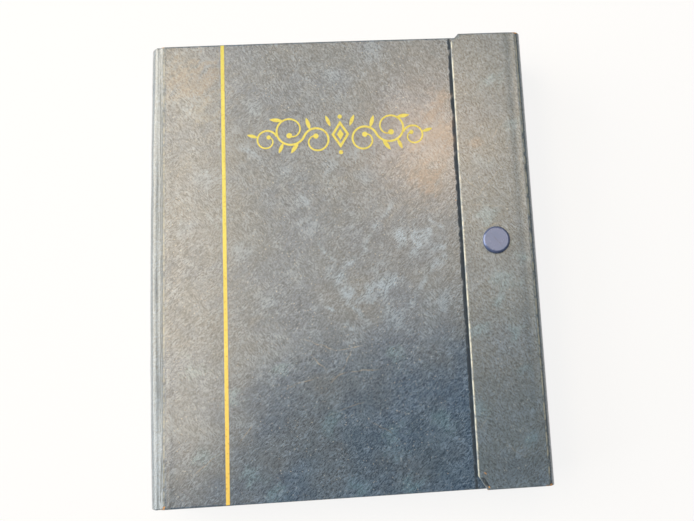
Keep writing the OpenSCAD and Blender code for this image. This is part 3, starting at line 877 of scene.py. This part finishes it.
def leatherette(name, offset, tones, marks, level, gloss, density, coat_density):
    """Marbled leatherette. tones are the four marbling colours; marks name where the pale, warm,
    dark, creased and glossy places lie on the faces above level, and where painted warm sheen,
    painted highlights and painted shade go; gloss is the roughness range, and the densities are
    the indices of refraction of the vinyl and of the polish on its strokes."""
    material, tree, shader = new_material(name)
    place = place_mm(tree)
    moved = vector_calc(tree, "ADD", place, offset).outputs[0]
    ground, warm, pale, deep = tones
    made = use(tree, marbling, Place=moved, Cloud_Size=26.0, Ground=ground, Warm=warm, Pale=pale,
               Deep=deep)["Color"]
    feel = use(tree, grain, Place=moved)
    across, up_here = flat_place(tree, place, level)
    soft = bent_place(tree, across, 12, 3.5)
    hatched = calc(tree, "MULTIPLY_ADD", feel["Hatch"], 0.6, 0.4)

    def marked(kind, where):
        return times(tree, marks_mask(tree, where, marks[kind]), up_here)

    # Patches and smears, then the strokes of the grain over them; the patches include painted warm
    # sheen and painted shade
    for tone, strength, where in marks["tones"]:
        made = lay(tree, made, tone, strength, marks_mask(tree, soft, where), up_here, hatched)
    made = lay(tree, made, smear_tone, 0.5, feel["Smears"], hatched)
    between = calc(tree, "SUBTRACT", 1.0, feel["Hatch"])
    made = lay(tree, made, unfaded_and_shade, 0.68, between)
    made = lay(tree, made, hair_tone, 0.32, feel["Hatch"])
    made = lay(tree, made, hair_tone, 0.7, feel["Hairs"])
    # Painted glints on the grain
    made = lay(tree, made, glint_tone, 0.5, feel["Specks"])

    # Creases, dark slit lines of painted shade, the glossy cracked place with its painted warm
    # sheen, the roll lightened by wear and a painted reflection, and painted highlights along the
    # ridges
    creases = marked("creases", bent_place(tree, across, 6, 1.4))
    # Dark lines of painted shade: beside the flap's raised edge, in the hinge groove and at the
    # flap's damaged corner
    slits_and_shade = ramp(tree, marked("slits_and_shade", bent_place(tree, across, 6, 0.4)), 0.02, 0.3)
    glossy = marked("glossy", soft)
    cracks = times(tree, use(tree, crackle, Place=across, Cell=1.7)["Cracks"], glossy)
    side = along(tree, place, "X")
    rolled = ramp(tree, side, marks["roll"] + 0.8, marks["roll"] - 0.8)
    # Painted light laid here: painted shade on the dark lines, painted warm sheen on the glossy
    # place, and a painted reflection together with wear on the roll
    for tone, strength, mask in ((crease_and_sheen_tone, 0.6, creases), (unfaded_and_shade, 0.9, slits_and_shade),
                                 (painted_sheen_tan, 0.3, glossy), (deep, 0.3, cracks), (rub_and_reflection_tone, 0.45, rolled)):
        made = lay(tree, made, tone, strength, mask)
    # Painted highlights: pale lines along the ridges, broken up by noise
    ridge_highlight_here = times(tree, up_here, ramp(tree, noise(tree, place, 4, 4.0, 0.65), 0.36, 0.6))
    for ridge, strength in marks["ridges"]:
        away = calc(tree, "ABSOLUTE", calc(tree, "SUBTRACT", side, ridge))
        made = lay(tree, made, ridge_highlight_tone, strength, ramp(tree, away, 0.65, 0.15), ridge_highlight_here)

    # Rubbed edges, and bare board at the corners
    wear = add(tree, "Attribute", {"attribute_name": "wear"}).outputs["Fac"]
    patchy = noise(tree, place, 1.6, 4.0, 0.65)
    rubbed = times(tree, wear, ramp(tree, patchy, 0.4, 0.66))
    bare = ramp(tree, calc(tree, "MULTIPLY_ADD", patchy, 0.9, wear), 1.36, 1.48)
    chips = ramp(tree, marked("bare", bent_place(tree, across, 3, 0.3)), 0.12, 0.4)
    bare = calc(tree, "MAXIMUM", bare, chips)
    made = lay(tree, made, rub_and_reflection_tone, 0.7, rubbed)
    made = mix(tree, bare, made, worn_board)

    # The feel: bare places are dull, strokes carry the polish, and the roll lies in fine folds
    open_here = calc(tree, "MAXIMUM", bare, slits_and_shade)
    rough = ramp(tree, noise(tree, moved, 14, 4.0), 0.3, 0.7, *gloss)
    rough = calc(tree, "SUBTRACT", rough, times(tree, glossy, 0.1))
    rough = calc(tree, "MULTIPLY_ADD", open_here, 0.45, rough)
    height = calc(tree, "SUBTRACT", feel["Height"], times(tree, cracks, 0.35))
    height = calc(tree, "MULTIPLY_ADD", creases, 0.5, height)
    folds = noise(tree, turned(tree, place, 90, 11), 1.5, 3.0, 0.6, 0.4)
    height = calc(tree, "MULTIPLY_ADD", times(tree, folds, rolled), 2.6, height)
    emboss(tree, shader, height, 0.6, 0.13 * MM)
    polish = ramp(tree, calc(tree, "MAXIMUM", feel["Hatch"], feel["Hairs"]), 0.1, 0.9, 0.46, 1.0)
    closed = calc(tree, "SUBTRACT", 1.0, open_here, clamp=True)
    feed(tree, shader, Base_Color=made, Roughness=rough, Coat_Weight=times(tree, polish, closed),
         Coat_Roughness=gloss[0], Coat_IOR=coat_density, IOR=density)
    return material


slate = colour(52, 80, 114)
# Taupe is a marbling colour, and is also laid on as a painted warm sheen
taupe_and_sheen = colour(92, 97, 100)
pale_blue = colour(104, 124, 144)
deep_slate = colour(52, 75, 98)
# Painted warm sheen, laid on the glossy places
painted_sheen_tan = colour(128, 106, 86)
worn_board = colour(196, 150, 100)
olive = colour(84, 98, 104)
flap_warm = colour(92, 100, 102)
bright_blue = colour(148, 180, 214)
teal_blue = colour(110, 148, 168)
hair_tone = colour(126, 151, 180)
smear_tone = colour(118, 142, 164)
# Painted glints on the grain
glint_tone = colour(200, 202, 198)
# Pale creases, and a painted warm sheen at the cover's upper left corner
crease_and_sheen_tone = colour(156, 152, 138)
# Rubbed edges; on the roll it is also a painted reflection
rub_and_reflection_tone = colour(134, 140, 140)
# Painted highlights along ridges
ridge_highlight_tone = colour(192, 196, 184)
# The dark ground between the grain's strokes, and painted shade on the lower cover and in gaps
unfaded_and_shade = colour(26, 44, 62)

# Where the marks lie on the front cover and the flap, in millimetres: patches and streaks as
# marks_mask reads them, the end of the roll, and the ridges with the strengths of their painted
# highlights
front_marks = {
    "tones": [
        # Painted warm sheen: taupe laid over the upper and left parts of the cover
        (taupe_and_sheen, 0.7, [(-60, 60, 70), (-10, 60, 62), (-75, -20, 50), (40, 40, 40)]),
        (bright_blue, 1.0, [
            (28, 31, 21, 22, 2.4), (21, 22, 15, 14, 2.6), (15, 14, 9, 1, 2.6), (9, 1, -4, -8, 3.3),
            (58, 0, 44, -10, 3.5), (44, -10, 38, -22, 3.1), (38, -22, 33, -30, 2.2),
            (-1, -21, 12, -37, 3.1), (-1, -34, 4, -41, 1.8), (-12, -25, -7, -30, 1.7),
            (46, 22, 56, 13, 2.6), (41, 20, 35, 12, 2.4), (-14, 10, -5, -2, 2.2),
            (-57, 68, -43, 56, 2.9), (-23, 38, -18, 30, 2.9), (-4, -10, 9), (1, -18, 10),
            (21, -16, 13), (12, -20, 10), (42, 8, 13), (49, 5, 10), (32, 11, 7)]),
        (bright_blue, 0.55, [
            (-23, 34, 9), (-32, 51, 8), (-77, 47, 10), (-86, 90, 10), (21, 118, 9), (5, 62, 8),
            (-49, 89, 8), (13, 46, 8), (-18, 20, 11), (-6, 53, 8), (51, -26, 10), (26, -35, 11),
            (-40, -21, 10), (-56, 7, 9), (-85, 20, 9), (51, 60, 8), (-3, 104, 9)]),
        (teal_blue, 0.9, [
            (24, -55, 8), (50, -91, 9), (-40, -121, 10), (32, -124, 9), (-53, -114, 8),
            (-76, -104, 8), (3, -122, 9), (-62, -73, 9), (-83, -56, 9), (-11, -87, 10),
            (23, -99, 10), (-36, -59, 9)]),
        # Painted warm sheen on the cover's upper left corner
        (crease_and_sheen_tone, 0.5, [(-86, 106, 26), (-74, 92, 18)]),
        # Painted shade: the lower part of the cover made darker
        (unfaded_and_shade, 0.34, [
            (8, -70, 30), (0, -104, 36), (44, -60, 26), (-34, -92, 26), (46, -104, 26)])],
    "creases": [
        (17, -61, 0, -62, 0.5), (0, -62, -10, -65, 0.45), (2, -50, -4, -62, 0.45),
        (-4, -62, -10, -67, 0.4), (-17, -64, -35, -69, 0.5), (-24, -43, -6, -50, 0.4),
        (-6, -50, 8, -48, 0.4), (-20, -52, -12, -60, 0.4), (-58, -95, -52, -87, 0.5),
        (-12, -84, 8, -78, 0.35), (10, -88, 22, -96, 0.35), (-84, -112, -70, -101, 0.4)],
    # Painted shade: the long line in the gap under the flap's raised edge, the short ones in the
    # hinge groove
    "slits_and_shade": [(64.8, 150, 64.8, -150, 1.5), (-99.2, -98, -99.4, -124, 0.5),
              (-99.6, 122, -99.5, 10, 0.4), (-99.5, 14, -99.4, -92, 0.35)],
    "bare": [(-98.9, 126.8, -97.4, 126.8, 0.6), (-98.3, -126.4, -97.2, -125.0, 0.8),
             (62.9, 30.2, 63.5, 30.4, 0.5)],
    # The glossy places are smoother and also carry a painted warm sheen
    "glossy": [(54, 66, 24), (48, 44, 14), (58, 88, 12), (-82, 106, 20)],
    "roll": front_low.x / MM,
    # Painted highlight along the ridge at the board's edge
    "ridges": [(front_low.x / MM + 0.2, 0.5)],
}
flap_marks = {
    "tones": [
        (teal_blue, 1.0, [
            (78, 21, 10), (88, -19, 11), (98, 68, 8), (90, -45, 8), (94, -66, 7), (72, -44, 7),
            (79, 51, 8), (68, -86, 8), (94, -103, 7), (86, 98, 9), (83, -28, 8), (96, -4, 7),
            (86, -4, 95, 8, 1.8), (93, 73, 103, 65, 1.5)]),
        (flap_warm, 0.6, [(85, 50, 22), (82, -70, 24)])],
    "creases": [(68, 42, 80, 30, 0.35), (74, 30, 90, 47, 0.35), (70, 26, 92, 24, 0.3),
                (84, 62, 92, 74, 0.35), (76, 12, 88, 15, 0.35), (68, -96, 74, -88, 0.35),
                (80, -104, 92, -112, 0.3)],
    # Painted shade along the flap's damaged corner
    "slits_and_shade": [(67.4, -120.2, 70.6, -125.4, 1.4)],
    "bare": [(102.6, 126.5, 104.2, 126.2, 0.7), (102.9, -126.5, 104.8, -126.3, 1.0),
             (68.6, -117.6, 70.0, -119.0, 0.4), (70.6, -125.0, 71.2, -125.9, 0.6)],
    # Its glossy place is smoother and carries a painted warm sheen
    "glossy": [(76, 62, 5)],
    "roll": -200,  # off these pieces: only the roll at the spine is rubbed and folded
    # Painted highlights along the flap's left edge and beside its fold
    "ridges": [(flap_low.x / MM + 0.4, 1.0), (flap_high.x / MM + 1.6, 0.7)],
}

case_leather = leatherette(
    "case_leatherette", (0, 0, 0), (slate, taupe_and_sheen, pale_blue, deep_slate), front_marks,
    level=case_t / MM, gloss=(0.2, 0.26), density=1.54, coat_density=1.74)
flap_side_leather = leatherette(
    "flap_leatherette", (310, 120, 0), (olive, flap_warm, pale_blue, deep_slate), flap_marks,
    level=flap_top / MM, gloss=(0.3, 0.38), density=1.66, coat_density=1.9)


# ---- Enamel, foil, metal, paper and film ----

def blue_enamel():
    material, tree, shader = new_material("blue_enamel")
    place = place_mm(tree)
    wear = use(tree, scuffs, Place=place, Smooth=0.16, Rough=0.3)
    tone = mix(tree, ramp(tree, wear["Smudge"], 0.35, 0.65), colour(92, 108, 150),
               colour(102, 116, 158))
    middle = Vector((cap_x, cap_y, 0)) / MM
    scratch = use(tree, streak, Place=vector_calc(tree, "MULTIPLY", place, (1, 1, 0)), Width=0.35,
                  From=middle + Vector((-3.4, 4.2, 0)), To=middle + Vector((3.2, -4.4, 0)))
    tone = lay(tree, tone, colour(70, 72, 90), 0.6, scratch["Mask"])
    feed(tree, shader, Base_Color=tone, Roughness=wear["Roughness"], Metallic=0.35, Coat_Weight=0.5,
         Coat_Roughness=0.08)
    return material


def gold_foil():
    material, tree, shader = new_material("gold_foil")
    place = place_mm(tree)
    wear = use(tree, scuffs, Place=place, Smooth=0.3, Rough=0.5)
    speck = ramp(tree, noise(tree, place, 1.1, 4.0, 0.7), 0.32, 0.44)
    # Painted reflection: the foil's tone shifts from the tail to the head
    reflection_gradient = ramp(tree, along(tree, place, "Y"), -120.0, 60.0)
    tone = mix(tree, reflection_gradient, colour(238, 208, 106), colour(208, 202, 100))
    tone = mix(tree, speck, colour(176, 132, 58), tone)
    emboss(tree, shader, wear["Height"], 0.2, 0.05 * MM)
    feed(tree, shader, Base_Color=tone, Roughness=wear["Roughness"], Metallic=0.2)
    return material


def metal(name, tone, least_rough, most_rough):
    material, tree, shader = new_material(name)
    wear = use(tree, scuffs, Place=place_mm(tree), Smooth=least_rough, Rough=most_rough)
    dull = tuple(c * 0.72 for c in tone[:3]) + (1.0,)
    made = mix(tree, ramp(tree, wear["Smudge"], 0.4, 0.7), tone, dull)
    emboss(tree, shader, wear["Height"], 0.12, 0.03 * MM)
    feed(tree, shader, Base_Color=made, Roughness=wear["Roughness"], Metallic=1.0)
    return material


def fibrous(name, tone, fibre_size, contrast, roughness):
    material, tree, shader = new_material(name)
    sheet = use(tree, paper, Place=place_mm(tree), Fibre_Size=fibre_size, Contrast=contrast,
                Color=tone)
    emboss(tree, shader, sheet["Height"], 0.3, 0.08 * MM)
    feed(tree, shader, Base_Color=sheet["Color"], Roughness=roughness)
    return material


def clear_film():
    material, tree, shader = new_material("clear_film")
    haze = ramp(tree, noise(tree, place_mm(tree), 8.0, 4.0), 0.3, 0.7, 0.04, 0.16)
    feed(tree, shader, Base_Color=(0.93, 0.95, 0.97, 1), Roughness=haze, Transmission_Weight=1.0,
         IOR=1.45)
    return material


finishes = {
    "leatherette": case_leather,
    "greyboard": fibrous("greyboard", colour(150, 136, 112), 0.6, 0.22, 0.9),
    "lining_paper": fibrous("lining_paper", colour(214, 205, 184), 0.5, 0.07, 0.8),
    "gold_foil": gold_foil(),
    "blue_enamel": blue_enamel(),
    "nickel": metal("nickel", colour(222, 220, 214), 0.14, 0.34),
    "rail_steel": metal("rail_steel", colour(176, 178, 180), 0.28, 0.5),
    "stock_card": fibrous("stock_card", colour(34, 35, 38), 0.45, 0.3, 0.85),
    "clear_strip": clear_film(),
}


def dress(piece, material):
    piece.data.materials.clear()
    piece.data.materials.append(material)


def crisp_metal(node):
    """Small rounded edges on a pressed or turned metal piece."""
    for polygon in node.data.polygons:
        polygon.use_smooth = True
    weld = node.modifiers.new("weld", "WELD")
    weld.merge_threshold = SAME
    flat = node.modifiers.new("flat", "DECIMATE")
    flat.decimate_type = "DISSOLVE"
    flat.angle_limit = math.radians(1)
    edge = node.modifiers.new("edge", "BEVEL")
    edge.width = 0.12 * MM
    edge.segments = 2
    edge.limit_method = "ANGLE"
    edge.angle_limit = math.radians(35)
    normal = node.modifiers.new("normal", "WEIGHTED_NORMAL")
    normal.keep_sharp = True


for row in frame["record"]["subparts"]:
    node = frame["nodes"][row["node"]]
    dress(node, finishes[row["material_slot"]])
    if row["material_slot"] in ("nickel", "rail_steel"):
        crisp_metal(node)


# ---- What each new piece stands for and moves with ----

for sheet in case_sheets:
    dress(sheet, case_leather)
for sheet in flap_sheets:
    dress(sheet, flap_side_leather)
dress(cap, finishes["blue_enamel"])
for foil in (rule_foil, ornament_foil):
    dress(foil, finishes["gold_foil"])
    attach(foil, "front_cover")
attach(cap, "flap")
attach(spine_leather, "spine")
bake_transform(front_leather)
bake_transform(back_leather)
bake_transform(fore_edge_leather)
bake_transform(flap_leather)
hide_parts("front_skin", "front_hinge")
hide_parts("back_skin", "back_hinge")
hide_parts("spine_skin")
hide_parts("fore_edge_skin", "fore_edge_hinge")
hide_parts("flap_skin", "flap_hinge")
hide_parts("snap_cap")
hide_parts("gold_rule")
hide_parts("gold_ornament")
bpy.data.objects.remove(wrinkle_guide)


# ---- Floor, lights and camera ----

def show_white(tree, plain, white, rays, share, target):
    """Mixes white into the plain shader, but only for what these kinds of ray see."""
    path = add(tree, "LightPath")
    seen = path.outputs[rays[0]]
    for ray in rays[1:]:
        seen = calc(tree, "MAXIMUM", seen, path.outputs[ray])
    mixed = add(tree, "MixShader")
    fill(tree, mixed.inputs, (times(tree, seen, share), plain, white))
    connect(tree, target, mixed)


def make_floor():
    bpy.ops.object.select_all(action="DESELECT")
    gap = 0.3 * MM
    bpy.ops.mesh.primitive_plane_add(size=6, location=(0, 0, -gap))
    floor = bpy.context.object
    floor.name = "floor"
    material, tree, shader = new_material("pale_floor")
    feed(tree, shader, Base_Color=(0.93, 0.93, 0.93, 1), Roughness=0.9, Specular_IOR_Level=0.1)
    white = add(tree, "Emission", Color=(1, 1, 1, 1), Strength=1.0)
    show_white(tree, shader, white, ("Is Camera Ray", "Is Glossy Ray", "Is Transmission Ray"), 0.85,
               tree.nodes["Material Output"].inputs["Surface"])
    dress(floor, material)


def make_world():
    """A dim sky with a bright wall low on the left, warm at the head and cooler at the tail."""
    world = bpy.data.worlds.new("studio")
    bpy.context.scene.world = world
    world.use_nodes = True
    tree = world.node_tree
    light = tree.nodes["Background"]
    heading = add(tree, "SeparateXYZ", Vector=add(tree, "TexCoord").outputs["Generated"])
    low = ramp(tree, heading.outputs["Z"], 0.8, 0.6)
    left = ramp(tree, heading.outputs["X"], -0.45, -0.65)
    aside = calc(tree, "ABSOLUTE", calc(tree, "SUBTRACT", heading.outputs["Y"], 0.14))
    wall = times(tree, low, left, ramp(tree, aside, 0.5, 0.36))
    wall_tone = mix(tree, ramp(tree, heading.outputs["Y"], -0.5, 0.1), (0.55, 0.75, 0.95, 1),
                    (1.0, 0.93, 0.8, 1))
    tone = mix(tree, wall, (0.8, 0.9, 1.0, 1), wall_tone)
    feed(tree, light, Color=tone, Strength=calc(tree, "MULTIPLY_ADD", wall, 4.6, 0.14))
    white = add(tree, "Background", Color=(1, 1, 1, 1), Strength=1.0)
    show_white(tree, light, white, ("Is Camera Ray", "Is Transmission Ray"), 1.0,
               tree.nodes["World Output"].inputs["Surface"])


def add_light(name, shape, place, size, power, tint):
    """An area light; returns its light settings and the lamp that carries them."""
    data = bpy.data.lights.new(name, "AREA")
    data.shape = shape
    data.size = size
    data.energy = power
    data.color = tint
    lamp = bpy.data.objects.new(name, data)
    put_in_scene(lamp)
    lamp.location = place
    return data, lamp


def add_lamp(name, place, target, size, power, tint):
    """A round lamp that points at its target."""
    lamp = add_light(name, "DISK", place, size, power, tint)[1]
    lamp.rotation_mode = "QUATERNION"
    lamp.rotation_quaternion = (Vector(target) - Vector(place)).to_track_quat("-Z", "Y")


def add_sheet_of_light(name, middle, heading, length, depth, brightness):
    """A flat sheet of light facing the table, turned by heading, as bright all over as it says."""
    power = math.pi * brightness * length * depth
    data, lamp = add_light(name, "RECTANGLE", middle, length, power, (1.0, 0.835, 0.605))
    data.size_y = depth
    lamp.rotation_euler = (0, 0, math.radians(heading))


def make_camera():
    data = bpy.data.cameras.new("camera")
    data.sensor_width = 36
    data.lens = 37.35
    data.shift_x = -0.1265
    camera = bpy.data.objects.new("camera", data)
    put_in_scene(camera)
    camera.location = Vector((26.67, -64.08, 431.73)) * MM
    camera.rotation_euler = [math.radians(a) for a in (8.907, -2.817, -3.263)]
    data.clip_start = 0.01
    data.clip_end = 20
    bpy.context.scene.camera = camera


make_floor()
make_world()
add_sheet_of_light("head_sheet", (-0.160, 0.425, 1.25), 13.2, 1.2, 0.88, 2.4)
add_sheet_of_light("left_sheet", (-0.628, -0.068, 1.25), 61.8, 0.57, 0.51, 2.3)
add_sheet_of_light("far_left_sheet", (-0.652, 0.355, 1.26), 90, 1.2, 0.5, 2.7)
add_lamp("warm_lamp", (0.094, 0.277, 0.68), (0.05, 0.066, 0.038), 0.13, 0.2, (1.0, 0.66, 0.4))
make_camera()
bpy.context.scene.view_settings.view_transform = "Standard"
